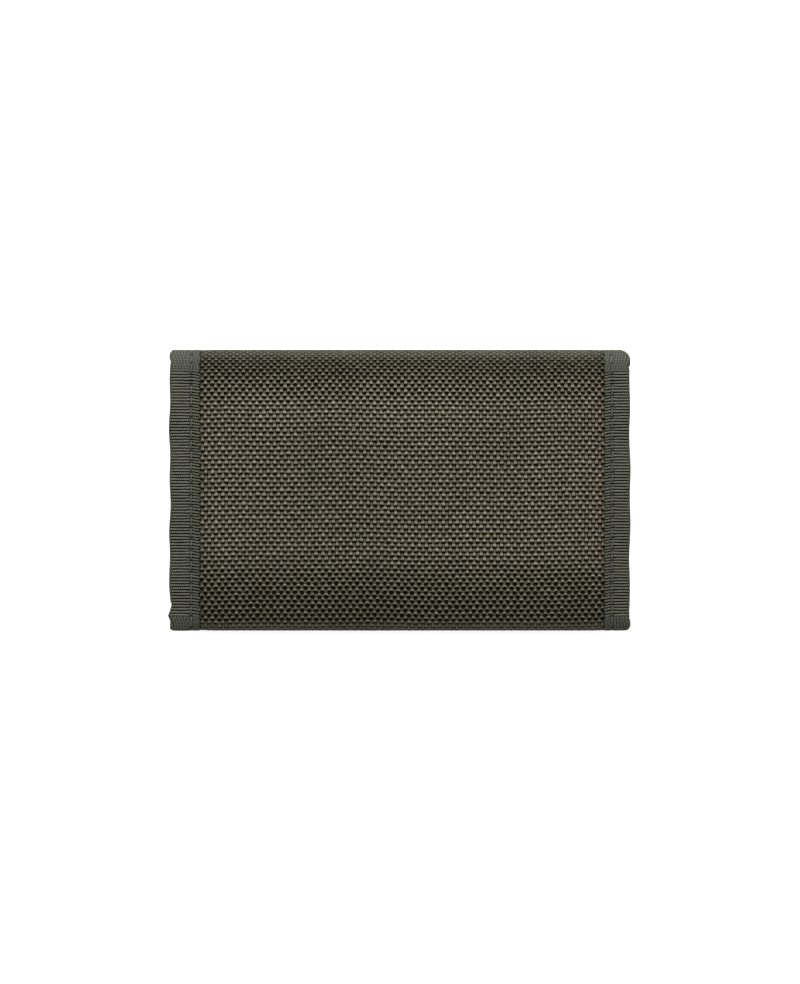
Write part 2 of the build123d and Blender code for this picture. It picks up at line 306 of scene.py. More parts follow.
class Finish:
    """One material, with short words for the shader sums that make up its pattern."""

    def __init__(self, name, rough=0.6, shine=0.4):
        self.mat = bpy.data.materials.new(name)
        self.mat.use_nodes = True
        self.tree = self.mat.node_tree
        self.bsdf = self.tree.nodes["Principled BSDF"]
        self.bsdf.inputs["Roughness"].default_value = rough
        self.bsdf.inputs["Specular IOR Level"].default_value = shine

    def put(self, socket, value):
        """Set a socket, or link another node's output to it."""
        if isinstance(value, bpy.types.NodeSocket):
            self.tree.links.new(value, socket)
        else:
            socket.default_value = value

    def node(self, kind, out=0, inputs=None, **props):
        """A new node with its inputs set; gives one of its outputs."""
        n = self.tree.nodes.new(kind)
        for k, v in props.items():
            setattr(n, k, v)
        for k, v in (inputs or {}).items():
            self.put(n.inputs[k], v)
        return n.outputs[out]

    def do(self, op, *values, clamp=False):
        """One sum of numbers or sockets."""
        return self.node("ShaderNodeMath", 0, dict(enumerate(values)), operation=op, use_clamp=clamp)

    # the commonest sums by short names
    mul, mul_add, add, sub, max, sin, abs = [
        lambda self, *values, op=op, **how: self.do(op, *values, **how)
        for op in ("MULTIPLY", "MULTIPLY_ADD", "ADD", "SUBTRACT", "MAXIMUM", "SINE", "ABSOLUTE")
    ]

    def cloth(self):
        """The two coordinates that the mesh carries along its cloth."""
        first = self.node("ShaderNodeSeparateXYZ", 0, {0: self.node("ShaderNodeUVMap", uv_map="cloth")})
        return first, first.node.outputs[1]

    def point(self, x, y, z=0.0):
        """Three numbers as one vector."""
        return self.node("ShaderNodeCombineXYZ", 0, {0: x, 1: y, 2: z})

    def noise(self, vector, scale, detail=2.0, rough=0.5):
        """Soft noise, mostly between 0.3 and 0.7."""
        return self.node("ShaderNodeTexNoise", 0,
                         {"Vector": vector, "Scale": scale, "Detail": detail, "Roughness": rough})

    def streaks(self, x, y, x_scale, y_scale, detail, rough=0.5):
        """Noise over the cloth's coordinates, stretched by a scale along each."""
        return self.noise(self.point(self.mul(x, x_scale), self.mul(y, y_scale)), 1.0, detail, rough)

    def here(self):
        """Place in the object's own space, in metres."""
        return self.node("ShaderNodeTexCoord", 3)

    def mark(self, name):
        """A value that the mesh carries at its points."""
        return self.node("ShaderNodeAttribute", 2, attribute_name=name)

    def ramp(self, value, low, high, to_low=0.0, to_high=1.0):
        """A soft step: to_low below low, to_high above high."""
        return self.node("ShaderNodeMapRange", 0,
                         {"Value": value, 1: low, 2: high, 3: to_low, 4: to_high},
                         interpolation_type="SMOOTHSTEP")

    def spread(self, noise, low, high):
        """Noise spread between two levels."""
        return self.ramp(noise, 0.3, 0.7, low, high)

    def mix(self, share, a, b):
        """Two colours mixed."""
        return self.node("ShaderNodeMix", 2, {0: share, 6: a, 7: b}, data_type="RGBA")

    def tint(self, colour, level):
        """A colour made lighter or darker by a factor."""
        colour = colour[:3] if isinstance(colour, tuple) else colour
        return self.node("ShaderNodeVectorMath", 0, {0: colour, "Scale": level}, operation="SCALE")

    def banded(self, base, *bands):
        """A colour whose brightness follows bands of (value, low, high, level at low, level at high)."""
        level = self.ramp(*bands[0])
        for band in bands[1:]:
            level = self.mul(level, self.ramp(*band))
        return self.tint(base, level)

    def bump(self, height, distance, strength=1.0, after=None):
        """A normal tilted by a height; the distance is in metres."""
        inputs = {"Height": height, "Distance": distance, "Strength": strength}
        if after is not None:
            inputs["Normal"] = after
        return self.node("ShaderNodeBump", 0, inputs)

    def show(self, colour, normal=None, rough=None):
        """Connect colour, normal and roughness; gives the material."""
        self.put(self.bsdf.inputs["Base Color"], colour)
        if normal is not None:
            self.put(self.bsdf.inputs["Normal"], normal)
        if rough is not None:
            self.put(self.bsdf.inputs["Roughness"], rough)
        return self.mat


def yarn_sums(f, x, y):
    """A plain weave at (ends, picks), as nodes: both yarns' heights, its holes (a dip with painted
    shadow), the painted highlight on its crowns and on its side yarns.
    """
    fx = f.sub(f.do("FRACT", x), 0.5)
    fy = f.sub(f.do("FRACT", y), 0.5)
    sx = f.sin(f.mul(x, math.pi))
    sy = f.sin(f.mul(y, math.pi))
    over = f.mul(sx, f.do("SIGN", sy))
    fy = f.mul_add(over, -CROWN_SHIFT, fy)
    weft_half = f.mul_add(f.do("GREATER_THAN", fy, 0.0), WEFT_UP - WEFT_DOWN, WEFT_DOWN)
    ridge = []
    for near, half in ((fy, weft_half), (fx, WARP_HALF)):
        q = f.do("DIVIDE", near, half)
        q = f.sub(1.0, f.mul(q, q))
        ridge.append(f.do("SQRT", f.max(q, 0.0)))
    weft = f.mul_add(over, YARN_RISE, f.mul(ridge[0], YARN_ROUND))
    warp = f.mul_add(f.mul(sy, f.do("SIGN", sx)), -YARN_RISE, f.mul(ridge[1], YARN_ROUND))
    weft = f.sub(weft, f.do("LESS_THAN", ridge[0], 0.02))
    warp = f.sub(warp, f.do("LESS_THAN", ridge[1], 0.02))
    # the hole under each crown: a dip in the relief, painted dark as the crown's cast shadow
    line = f.sub(y, f.do("ROUND", y))
    cy = f.do("COSINE", f.mul(y, math.pi))
    below = f.ramp(f.mul(sx, f.do("SIGN", cy)), -0.45, 0.0)
    off = f.abs(f.add(line, HOLE_DROP))
    hole = f.mul(below, f.ramp(off, HOLE_HALF, HOLE_HALF + HOLE_SOFT, 1.0, 0.0))
    # painted shade near the fold and the turned edge: a hole grows to nearly the whole cell, in colour and
    # bump
    spread_shade = f.mark("open")
    shaded_cell = f.sub(f.mul(sx, cy), f.mul(f.mark("peak"), f.add(line, 0.1)))
    shaded_cell = f.ramp(f.mul_add(spread_shade, 0.62, f.sub(shaded_cell, 0.62)), 0.0, 0.27)
    hole = f.max(f.mul(hole, f.mul_add(spread_shade, -0.4, 1.0)), shaded_cell)
    # painted highlight along the middle of each side yarn
    side_sheen = f.ramp(f.abs(fx), 0.08, 0.4, SHEEN_MID, SHEEN_EDGE)
    # painted highlight: where each weft crown lies, lit by the light from above
    lit_crown = f.mul(f.ramp(over, -0.2, 0.3), f.ramp(f.abs(fy), 0.09, 0.36, 1.0, 0.0))
    return weft, warp, hole, lit_crown, side_sheen


def ballistic(name, lit_crown, shaded_side_yarn, gap_shadow):
    """Heavy plain weave: weft crowns with painted highlight, side yarns with painted shade, painted shadow
    in the gaps, fine filaments.
    """
    f = Finish(name, 0.55, 0.45)
    x, y = f.cloth()
    drift = f.noise(f.point(x, y), 0.9, 1.0)
    other = f.noise(f.point(y, x, 5.0), 0.9, 1.0)
    x = f.add(x, f.ramp(drift, 0.2, 0.8, -0.13, 0.13))
    y = f.add(y, f.ramp(other, 0.2, 0.8, -0.11, 0.11))
    weft, warp, hole, lit_crown_share, side_sheen = yarn_sums(f, x, y)
    on_top = f.ramp(f.sub(weft, warp), -0.02, 0.02)
    height = f.mul_add(hole, -GAP_DEPTH, f.max(weft, warp))
    closed = f.mark("closed")
    # painted shadow: the yarns' low parts and the holes take the dark gap colour
    edge = f.mul_add(closed, -0.1, 0.02)
    low = f.ramp(f.sub(height, edge), 0.0, 0.12, 1.0, 0.0)
    shadow_share = f.max(low, f.mul(hole, f.mul_add(closed, -0.87, 0.97)))
    along_weft = f.streaks(x, y, 0.7, 13.0, 3.0, 0.6)
    along_warp = f.streaks(x, y, 13.0, 0.7, 3.0, 0.6)
    per_crown = f.streaks(x, y, 0.5, 1.0, 1.0)
    broad = f.noise(f.here(), 42.0, 2.0)
    fibre = f.node("ShaderNodeMix", 0, {0: on_top, 2: along_warp, 3: along_weft})
    level = f.spread(fibre, 0.7, 1.3)
    level = f.mul(level, f.ramp(per_crown, 0.25, 0.75, 0.8, 1.2))
    level = f.mul(level, f.spread(broad, 0.92, 1.08))
    # painted shade: yarns lighter at their tops, darker low down, times the shade mark
    high = f.mul(f.ramp(height, 0.05, RELIEF, 0.7, 1.1), f.mark("shade"))
    # where the weave is pressed shut, the painted crown highlight fades to an even tone
    pressed_share = f.mul_add(closed, -0.65, 1.0)
    lit_crown_share = f.mul_add(lit_crown_share, pressed_share, f.mul(closed, 0.3))
    # painted highlight on the crowns over painted shade on the side yarns
    colour = f.mix(lit_crown_share, f.tint(shaded_side_yarn, side_sheen), lit_crown)
    colour = f.tint(colour, f.mul(level, high))
    colour = f.mix(shadow_share, colour, gap_shadow)
    rough = f.spread(fibre, 0.78, 0.66)
    relief = f.bump(height, 0.00022, 0.55)
    fine = f.bump(fibre, 0.00006, 0.6, relief)
    gloss = f.mul(f.mark("shade"), f.sub(1.0, shadow_share))
    gloss = f.mul(f.mul_add(lit_crown_share, 0.28, 0.12), gloss)
    f.put(f.bsdf.inputs["Specular IOR Level"], gloss)
    return f.show(colour, fine, rough)


def grosgrain(name, crest, valley_shade, patch):
    """Ribbed binding tape: beaded ribs with painted shade in the valleys between them, cross-woven where
    it is rubbed, painted shade in its seam's groove.
    """
    f = Finish(name, 0.62, 0.35)
    u, v = f.cloth()
    stray = f.streaks(u, v, 0.35, 0.8, 2.0)
    waved = f.add(v, f.ramp(stray, 0.25, 0.75, -0.06, 0.06))
    rib = f.abs(f.sin(f.mul(waved, math.pi)))
    beads = f.mul_add(u, math.pi / BEAD, f.mul(v, math.pi / 2))
    threads = f.abs(f.sin(beads))
    grain = f.streaks(u, v, 4.0, 2.0, 3.0, 0.6)
    broad = f.noise(f.here(), 60.0, 2.0)
    slant = f.mul_add(u, 2.1, f.mul(v, 1.7))
    cross = f.mul(f.sin(f.mul(slant, math.pi)), f.sin(f.mul(v, math.pi * 2)))
    patch = f.tint(patch, f.ramp(cross, -0.4, 0.4, 0.05, 1.9))
    worn = f.mark("patch")
    share = f.max(f.ramp(rib, 0.45, 0.95), f.mul(worn, 0.55))
    # painted shade in the valleys between the ribs
    colour = f.mix(share, valley_shade, crest)
    colour = f.mix(worn, colour, patch)
    level = f.mul(f.spread(grain, 0.8, 1.2), f.spread(broad, 0.93, 1.07))
    level = f.mul(level, f.ramp(threads, 0.0, 0.9, 0.12, 1.42))
    # painted shade in the seam's groove, deepest at the needle holes
    level = f.mul(level, f.mul_add(f.mark("groove"), -0.5, 1.0, clamp=True))
    colour = f.tint(colour, level)
    relief = f.bump(rib, 0.00012, 0.6)
    fine = f.bump(f.mul_add(threads, 0.5, grain), 0.00005, 0.6, relief)
    f.put(f.bsdf.inputs["Specular IOR Level"], f.mul(share, 0.3))
    return f.show(colour, fine, f.spread(grain, 0.78, 0.6))


def fine_cloth(name, base, pitch=0.32, rough=0.62, twill=False, strong=1.0):
    """Light lining or tape cloth: a small weave, a few thick threads and soft blotches."""
    f = Finish(name, rough, 0.35)
    u, v = f.cloth()
    if twill:
        weave = f.sin(f.mul(f.add(u, v), math.pi / pitch))
    else:
        weave = f.mul(f.sin(f.mul(u, 2 * math.pi / pitch)), f.sin(f.mul(v, 2 * math.pi / pitch)))
    slub = f.streaks(u, v, 0.25, 5.0, 3.0, 0.6)
    grain = f.noise(f.point(u, v), 6.0, 3.0, 0.65)
    broad = f.noise(f.here(), 55.0, 2.0)
    colour = f.banded(base, (weave, -1.0, 1.0, 1 - 0.22 * strong, 1 + 0.18 * strong),
                      (slub, 0.3, 0.7, 0.85, 1.15), (broad, 0.3, 0.7, 0.9, 1.1))
    relief = f.bump(weave, 0.00004, 0.6)
    fine = f.bump(f.add(slub, grain), 0.00006, 0.5, relief)
    return f.show(colour, fine, f.spread(grain, rough + 0.08, rough - 0.08))


def twisted(name, base):
    """Sewing thread: plies that wind round it."""
    f = Finish(name, 0.5, 0.45)
    u, v = f.cloth()
    turn = f.mul_add(u, 1.6, f.mul(v, 2.0))
    ply = f.sin(f.mul(turn, 2 * math.pi))
    grain = f.noise(f.here(), 4000.0, 2.0)
    colour = f.banded(base, (ply, -1.0, 1.0, 0.7, 1.2), (grain, 0.3, 0.7, 0.88, 1.12))
    return f.show(colour, f.bump(ply, 0.00006, 0.7), 0.5)


def open_foam(name, base):
    """Foam with open cells."""
    f = Finish(name, 0.85, 0.2)
    cells = f.node("ShaderNodeTexVoronoi", 0, {"Vector": f.here(), "Scale": 2600.0})
    broad = f.noise(f.here(), 90.0, 2.0)
    colour = f.banded(base, (cells, 0.1, 0.6, 0.7, 1.2), (broad, 0.3, 0.7, 0.9, 1.1))
    return f.show(colour, f.bump(cells, 0.0001, 0.7), 0.85)


def fuzzy(name, base, rough=0.75):
    """Hook and loop faces: fine strands of slightly different shade."""
    f = Finish(name, rough, 0.3)
    grain = f.noise(f.here(), 900.0, 3.0, 0.6)
    fine = f.noise(f.here(), 5200.0, 2.0)
    colour = f.banded(base, (grain, 0.3, 0.7, 0.7, 1.35), (fine, 0.3, 0.7, 0.85, 1.15))
    return f.show(colour, f.bump(fine, 0.00005, 0.5), f.spread(grain, rough + 0.1, rough - 0.15))


def nylon(name, base):
    """Stiff, slightly glossy filament."""
    f = Finish(name, 0.35, 0.5)
    grain = f.noise(f.here(), 1500.0, 3.0)
    broad = f.noise(f.here(), 160.0, 2.0)
    colour = f.banded(base, (grain, 0.3, 0.7, 0.85, 1.2), (broad, 0.3, 0.7, 0.9, 1.1))
    return f.show(colour, f.bump(grain, 0.00003, 0.4), f.spread(grain, 0.42, 0.28))


def coated_metal(name, base):
    """Painted die-cast metal with slightly worn, orange-peel paint."""
    f = Finish(name, 0.35, 0.5)
    peel = f.noise(f.here(), 1800.0, 2.0)
    wear = f.noise(f.here(), 320.0, 4.0, 0.7)
    colour = f.mix(f.ramp(wear, 0.62, 0.78), base, srgb(96, 94, 88))
    f.put(f.bsdf.inputs["Metallic"], f.ramp(wear, 0.62, 0.78, 0.3, 0.85))
    return f.show(colour, f.bump(peel, 0.00002, 0.5), f.spread(wear, 0.45, 0.28))


# shell colours: lit crown (painted highlight), shaded side yarn (painted shade), gap shadow (painted
# shadow)
SHELL_MAT = ballistic("shell_cloth", srgb(84, 80, 68), srgb(45, 42, 34), srgb(8, 6, 1))
# tape colours: rib crest, painted shade in the valleys, rubbed patch
TAPE_MAT = grosgrain("binding_tape", srgb(62, 63, 53), srgb(3, 3, 2), srgb(36, 37, 30))
THREAD_MAT = twisted("sewing_thread", srgb(46, 46, 38))
LINING_MAT = fine_cloth("lining", srgb(36, 35, 29), 0.3)
POCKET_MAT = fine_cloth("pocket_cloth", srgb(50, 48, 38), 0.95, strong=2.2)
FOAM_MAT = open_foam("foam", srgb(42, 42, 40))
HOOK_MAT = fuzzy("hook_tape", srgb(30, 30, 25))
LOOP_MAT = fuzzy("loop_tape", srgb(36, 36, 29), 0.8)
ZIP_TAPE_MAT = fine_cloth("zip_tape", srgb(26, 26, 23), 0.5, 0.6, True)
COIL_MAT = nylon("zip_coil", srgb(20, 20, 18))
METAL_MAT = coated_metal("zip_metal", srgb(22, 22, 20))


def finish_piece(obj, material, side=None, fold=False):
    """Give a piece its material, and let it ride on its leaf; a piece on the fold has its place baked into
    its points.
    """
    obj.data.materials.clear()
    obj.data.materials.append(material)
    if fold:
        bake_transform(obj)
    elif side:
        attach(obj, BODY[side])


# ================ outer cloth
PER_END, PER_PICK = 3, 4         # mesh points to a yarn
UNDER_TAPE = 1.0                 # the cloth reaches this far past the seams
HEM_LIP = 0.9                    # and its hem this far past the tape's


def ends_at(x):
    """Yarn count across the cloth; the ends lie a little closer towards the right."""
    mean = END_PITCH + (END_PITCH_RIGHT - END_PITCH) * (x - X_LEFT) / (X_RIGHT - X_LEFT) / 2
    return (x - X_LEFT) / mean


# Where the cloth is bent the picks lie closer together: their pitch at places along the path, as a share.
PATH_START, PATH_END = -NOSE_LEN - 10, FACE + 12
PICK_PLACES = [PATH_START, -1, 0.3, 1.8, 4, 10, 16,
               FACE - 16, FACE - 7.3, FACE - 3.3, FACE - 0.3, FACE + 2, PATH_END]
PICK_SHARES = [0.88, 0.88, 0.93, 1.05, 0.98, 0.97, 1.0, 1.0, 0.93, 0.885, 0.80, 0.70, 0.70]
PICK_S = np.linspace(PATH_START, PATH_END, 6000)
_density = 1 / (PICK_PITCH * np.interp(PICK_S, PICK_PLACES, PICK_SHARES))
PICK_N = np.concatenate([[0], np.cumsum((_density[1:] + _density[:-1]) / 2 * np.diff(PICK_S))])


def picks_at(s):
    """Yarn count along the cloth."""
    return np.interp(s, PICK_S, PICK_N)


def off_hem(s):
    """0 on the hem, 1 from the turned edge on."""
    return 1 - smooth((-s - NOSE_LEN + 3.0) / 3.0)


def near_fold(s):
    """0 on the face, 1 where the cloth comes near the fold."""
    return smooth((s - FACE + 13) / 8)


def closedness(s):
    """0 where the weave stands open, 1 where it is pressed shut at the fold and on the turned edge."""
    return np.maximum(smooth((s - FACE - 3.0) / 3.5), smooth((-s - 0.5) / 2.5) * off_hem(s))


def painted_shade_spread(s):
    """1 near the fold and near the turned edge, where painted shade spreads the holes wide."""
    return np.maximum(near_fold(s), (1 - smooth((s - 9) / 12)) * off_hem(s))


def peakedness(s):
    """How far the painted dark holes narrow towards the fold: three-cornered beside it, round elsewhere.
    """
    return 0.55 * near_fold(s)


def painted_shading(s, under):
    """Painted shade on the cloth: lower brightness along the fold, on the turned edge and beside the
    tapes, and a touch of painted light just below the fold.
    """
    along = np.interp(s, [-NOSE_LEN, -NOSE_LEN + 3, -2, 4, 9, 20, FACE - 16, FACE - 3, FACE + 3],
                      [0.95, 0.62, 0.62, 0.72, 0.88, 1.0, 1.0, 1.04, 0.58])
    return along * (1 - 0.45 * np.exp(-(np.maximum(under, 0) / 0.8) ** 2))


def weave_height(X, Y):
    """Height of the upper yarn at (ends, picks), above the floor of the gaps between the yarns."""
    i, j = np.floor(X), np.floor(Y)
    even_i, even_j = np.where(i % 2 == 0, 1, -1), np.where(j % 2 == 0, 1, -1)
    fx, fy = X - i - 0.5, Y - j - 0.5 - CROWN_SHIFT * np.sin(math.pi * X) * even_j
    weft_half = np.where(fy > 0, WEFT_UP, WEFT_DOWN)
    weft_round, warp_round = [np.sqrt(np.clip(1 - q ** 2, 0, 1)) for q in (fy / weft_half, fx / WARP_HALF)]
    weft = YARN_RISE * np.sin(math.pi * X) * even_j + YARN_ROUND * weft_round
    warp = -YARN_RISE * np.sin(math.pi * Y) * even_i + YARN_ROUND * warp_round
    weft = np.where(abs(fy) < weft_half, weft, -1)
    warp = np.where(abs(fx) < WARP_HALF, warp, -1)
    near = Y - np.round(Y)
    below = smooth((np.sin(math.pi * X) * np.where(np.round(Y) % 2 == 0, 1, -1) + 0.45) / 0.45)
    hole = below * (1 - smooth((np.abs(near + HOLE_DROP) - HOLE_HALF) / HOLE_SOFT))
    return np.maximum(np.maximum(weft, warp), -YARN_RISE) - GAP_DEPTH * hole


def shell_piece(name, side, s_from, s_to, fold=False):
    """A piece of the outer cloth with its yarns raised, between two places along the path."""
    x_from, x_to = LEFT_SEAM - UNDER_TAPE, RIGHT_SEAM + UNDER_TAPE
    X = np.arange(math.ceil(ends_at(x_from) * PER_END), math.floor(ends_at(x_to) * PER_END) + 1) / PER_END
    fine = np.linspace(X_LEFT, X_RIGHT, 4000)
    x = np.interp(X, ends_at(fine), fine)
    y_from, y_to = picks_at(s_from), picks_at(s_to)
    Y = np.arange(math.ceil(y_from * PER_PICK + 0.2), math.floor(y_to * PER_PICK - 0.2) + 1) / PER_PICK
    Y = np.concatenate([[y_from], Y, [y_to]])
    s = np.interp(Y, PICK_N, PICK_S)
    XX, YY = np.meshgrid(X, Y)
    xx, ss = np.meshgrid(x, s)
    # yarns stray from straight lines and swell a little
    XX = XX + 0.10 * np.sin(ss / 9.0 + 0.8) + 0.05 * np.sin(ss / 3.7 + xx / 31)
    YY = YY + 0.10 * np.sin(xx / 13.0) + 0.06 * np.sin(xx / 5.1 + ss / 29)
    swell = 0.03 * np.sin(XX * 1.93 + np.floor(YY) * 2.4) * np.sin(YY * 0.71)
    # the cloth dips under the tapes, less so where it is bent
    under = np.minimum(xx - MOUTH_IN, SIDE_IN - xx)
    dip = TAPE_T * (1 - smooth((under + 0.4) / 4.5))
    dip = dip * (1 - 0.8 * smooth((ss - FACE) / 4)) * (1 - 0.8 * smooth(-ss / 3))
    shut = closedness(ss)
    d = (RELIEF - weave_height(XX, YY)) * (1 - 0.55 * shut) + np.abs(swell) + dip
    # open and peak: how far painted shade spreads the holes, and their shape
    # shade: painted shade for the shell's colour and gloss
    marks = {"closed": shut, "shade": painted_shading(ss, under), "open": painted_shade_spread(ss), "peak": peakedness(ss)}
    quads = grid_quads(*xx.shape, flip=side == "front")
    obj = make_mesh(name, place(side, xx, ss, d), quads, np.stack([XX, YY], axis=-1), marks)
    finish_piece(obj, SHELL_MAT, side, fold)
    return obj


def shells():
    """The outer cloth of each leaf: face and turned edge, hem, and its quarter of the fold."""
    for side in SIDES:
        panel = shell_piece(f"{side}_shell_cloth", side, -NOSE_LEN, FACE)
        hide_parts(f"{side}_shell")
        shell_piece(f"{side}_shell_hem", side, -NOSE_LEN - HEM_WIDTH - HEM_LIP, -NOSE_LEN)
        fold = shell_piece(f"{side}_fold_cloth", side, FACE, FACE + FOLD_LEN, fold=True)
        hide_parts("spine_shell")


# ================ bindings
# each tape's end of the wallet, inner line, outer line and seam
EDGES = {
    "mouth": ("left", MOUTH_IN, X_LEFT, LEFT_SEAM),
    "panel": ("left", PANEL_IN, PANEL_OUT, PANEL_IN - 2.2),
    "side": ("right", SIDE_IN, X_RIGHT, RIGHT_SEAM),
}
ROLL = 1.2                       # how far the tape's face curves in towards the edge
NOSE_DEPTH, HEM_DEPTH = 1.75, 1.0  # depth of its inner face on the turned edge and on the hem
STEP_LEN = 1.6                   # length over which tape and layers step down a pocket's edge
THREAD_SUNK = 0.2                # how deep the inner stitches lie in their tape
SEAM_START, SEAM_END = -2.5, 2.0  # seams run on round the turned edge, and stop short on the fold


def stack_depth(side, s):
    """Depth of the innermost pocket layer at a place along the path."""
    y = Y_EDGE + s
    if side == "front":
        return STACK - 1.8 * smooth((y - COIN_TOP + 0.65) / STEP_LEN)
    depth = CARD_STACK
    for mouth in CARD_MOUTHS:
        depth = depth - POCKET_T * smooth((y - mouth + 0.6) / STEP_LEN)
    return depth


def bound_depth(kind, side, s):
    """Depth of a binding's inner face along the path."""
    if kind == "mouth":
        return np.full(np.shape(s), SHELL_T + FOAM_T + LINING_T + TAPE_T)
    top = stack_depth(side, s) + TAPE_T
    if kind == "side":
        top = np.maximum(top, HEM_TOP - (HEM_TOP - top) * smooth((s - HEM_WIDTH + 0.5) / 1.5))
    return top


def from_fold(s):
    """Distance, seen from above, to the fold's outermost line."""
    return np.where(s > FACE, R * (1 - np.sin(np.clip(s - FACE, 0, FOLD_LEN) / R)), FACE - s + R)


def bump_at(x, centre, width):
    """A smooth bump, 1 at its centre."""
    return np.exp(-((x - centre) / width) ** 2)


def edge_in(end, s):
    """How far the bound edge lies inside its widest place: waves, and the shapes of its corners."""
    e = from_fold(s)
    low = np.where(s < 0, NOSE * (1 - np.sin(np.clip(-s, 0, NOSE_LEN) / NOSE_LEN * math.pi)), s + NOSE)
    low = low + np.clip(-s - NOSE_LEN, 0, None)
    if end == "left":
        wave = 0.02 + 0.14 * np.sin(s / 2.3 + 0.6) + 0.1 * np.sin(s / 5.9 + 2.0)
        # notch and bulge above the turned edge, then the hem drawn in
        wave = wave + 0.3 * bump_at(low, 7.4, 0.7) - 0.6 * bump_at(low, 4.4, 1.2)
        wave = wave + 0.1 * (1 - smooth((low - 1.6) / 1.4))
        wave = wave + 0.35 * smooth((-s - NOSE_LEN) / 1.5)
        ear = 0.28 * bump_at(e, 1.1, 0.7)
        return wave * smooth(e / 3.0) + 0.25 * (1 - smooth(e / 0.8)) - ear
    wave = 0.02 + 0.12 * np.sin(s / 2.7 + 1.7) + 0.1 * np.sin(s / 7.3)
    wave = wave + 0.35 * bump_at(e, 4.8, 0.7) + 0.3 * bump_at(low, 3.4, 0.7)
    corner = 2.0 - np.sqrt(np.clip(4.0 - np.clip(2.0 - e, 0, 2) ** 2, 0, 4))
    foot = 1.0 - np.sqrt(np.clip(1.0 - np.clip(1.0 - low, 0, 1) ** 2, 0, 1))
    return wave + corner + foot


def patchiness(s):
    """1 on the smooth, rubbed tape at the corners, 0 on the ribbed middle."""
    low = np.where(s < 0, 0, s + NOSE)
    return np.maximum(1 - smooth((from_fold(s) - 5.4) / 1.4), 1 - smooth((low - 3.4) / 1.4))


def binding_grid(side, edge, d1, d2, s, thick, wavy):
    """Points, cloth coordinates and marks of a folded tape: face, round the edge, inner face."""
    end, x_in, x_edge, seam_x = edge
    way = 1 if x_edge > x_in else -1
    width = abs(x_edge - x_in)
    face, back = np.linspace(0, 1, 26), np.linspace(1, 0, 14)
    round_it = np.linspace(0, math.pi, 11)[1:-1]
    S = s[:, None]
    d2 = d2[:, None]
    pull, worn = (edge_in(end, S), patchiness(S)) if wavy else (0 * S, 0 * S)
    roll = ROLL - 0.7 * smooth((S - FACE) / 5 if end == "left" else -S / 3)
    inner_edge = x_in + way * 0.12 * np.cos(2 * math.pi * S / STITCH)
    outer_edge = x_edge - way * (roll + pull)
    ribs = RIB_RISE * (1 - np.abs(np.sin(math.pi * S / RIB_PITCH)))
    worn_ribs = ribs * (1 - 0.75 * worn)

    def flange(t, rib):
        """One flat side of the tape: ribs, the seam's groove with its needle holes, and a rounded edge."""
        x = inner_edge + (outer_edge - inner_edge) * t[None, :]
        hole = np.cos(math.pi * S / STITCH) ** 2
        dip = 0.10 * bump_at(x, seam_x, 0.5) + 0.28 * bump_at(x, seam_x, 0.3) * hole ** 12
        return x, rib + dip + 0.08 * bump_at(x, inner_edge, 0.35)

    xf, df = flange(face, worn_ribs)
    xb, db = flange(back, ribs)
    relief = 1.0 if thick == 0 else 0.0
    df, db, rim = df * relief + thick, db * relief + thick, worn_ribs * relief + thick
    xr = outer_edge + way * np.maximum(roll - rim, 0.05) * np.sin(round_it)[None, :]
    dr = (d1 + d2) / 2 - np.maximum((d2 - d1) / 2 - rim, 0.02) * np.cos(round_it)[None, :]
    x = np.concatenate([xf, xr, xb], axis=1)
    d = np.concatenate([d1 + df, dr, np.maximum(d2 - db, d1 + 0.03)], axis=1)
    across = np.concatenate([face * width, width + round_it / math.pi * 3, width + 3 + (1 - back) * width])
    u = np.broadcast_to(across[None, :], x.shape)
    # each stitch pulls the ribs together, and they lean between the seam and the tape's inner line
    lean = 0.25 * smooth((seam_x - x) * way / abs(seam_x - x_in))
    v = (S + 0.09 * np.sin(2 * math.pi * S / STITCH) * bump_at(x, seam_x, 1.4) + lean) / RIB_PITCH
    outside = np.concatenate([np.ones(len(face)), np.linspace(1, 0, len(round_it)), np.zeros(len(back))])
    # where painted shade falls in the seam's groove, strongest at each needle hole
    groove = bump_at(x, seam_x, 0.45) * (0.9 + 1.1 * np.cos(math.pi * S / STITCH) ** 6)
    marks = {"patch": worn * outside[None, :] + 0 * x, "groove": groove}
    return place(side, x, S, d), np.stack([u, np.broadcast_to(v, x.shape)], axis=-1), marks


def binding_piece(name, side, edge, d1, d2, s_from, s_to, fold=False, wavy=True):
    """A binding's tape over part of the path; d2 is its inner depth, as a number or as a function of s."""
    n = max(2, round((s_to - s_from) / (RIB_PITCH / 6)))
    s = np.linspace(s_from, s_to, n + 1)
    d2s = d2(s) if callable(d2) else np.full(s.shape, float(d2))
    outer, uv, marks = binding_grid(side, edge, d1, d2s, s, 0.0, wavy)
    inner, _, _ = binding_grid(side, edge, d1, d2s, s, TAPE_CLOTH, wavy)
    _, x_in, x_edge, _ = edge
    obj = slab(name, outer, inner, uv, (side == "front") != (x_edge > x_in), marks)
    finish_piece(obj, TAPE_MAT, side, fold)
    # laid flat: both sides, the way round the edge, less what the edge's curve saves
    flat_w = 2 * abs(x_edge - x_in) + 1.2 * float(np.mean(d2s - d1)) - 1
    cut_cloth(flat_w, s_to - s_from)
    return obj


